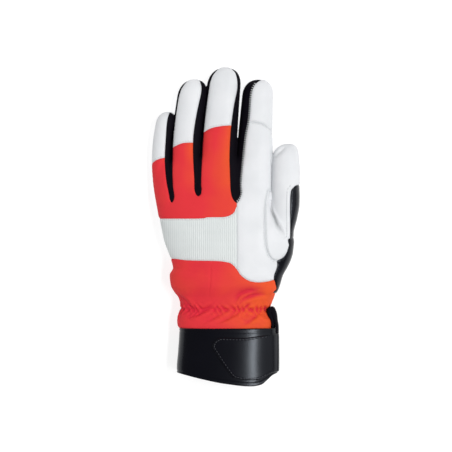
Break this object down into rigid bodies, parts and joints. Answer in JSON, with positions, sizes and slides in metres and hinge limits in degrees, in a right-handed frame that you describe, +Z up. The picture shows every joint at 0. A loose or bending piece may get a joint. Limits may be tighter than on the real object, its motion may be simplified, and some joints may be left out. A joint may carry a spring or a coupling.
{
  "type": "chainsaw glove",
  "caption": "Left-hand work glove of leather and cloth lying palm down, with a gathered cuff and a band with a closing tab at the mouth.",
  "frame": {"origin": "on the resting surface, under the middle of the glove's bounding box", "axes": "+Y towards the fingertips, +X towards the thumb, +Z up out of the back of the hand"},
  "size_m": [0.1294, 0.2798, 0.0405],
  "materials": {
    "white_leather": "smooth matt grain leather",
    "orange_cloth": "fluorescent red-orange stretch cloth",
    "white_knit": "finely ribbed grey-white knit",
    "black_cloth": "matt black stretch cloth",
    "black_leather": "smooth black leather with a soft sheen"
  },
  "bodies": {
    "root": {"palm": "white_leather", "thumb": "white_leather", "thumb_strip": "black_leather", "heel_gusset": "black_leather", "knuckle_panel": "orange_cloth", "rib_band": "white_knit", "index_panel": "white_leather", "little_cap": "white_leather", "ring_cap": "white_leather", "middle_cap": "white_leather", "index_cap": "white_leather", "little_fourchette": "black_cloth", "ring_fourchette": "black_cloth", "middle_fourchette": "black_cloth", "sleeve": "orange_cloth", "cuff_band": "black_leather", "strap_tab": "black_leather", "pull_loop": "black_cloth"}
  },
  "joints": []
}
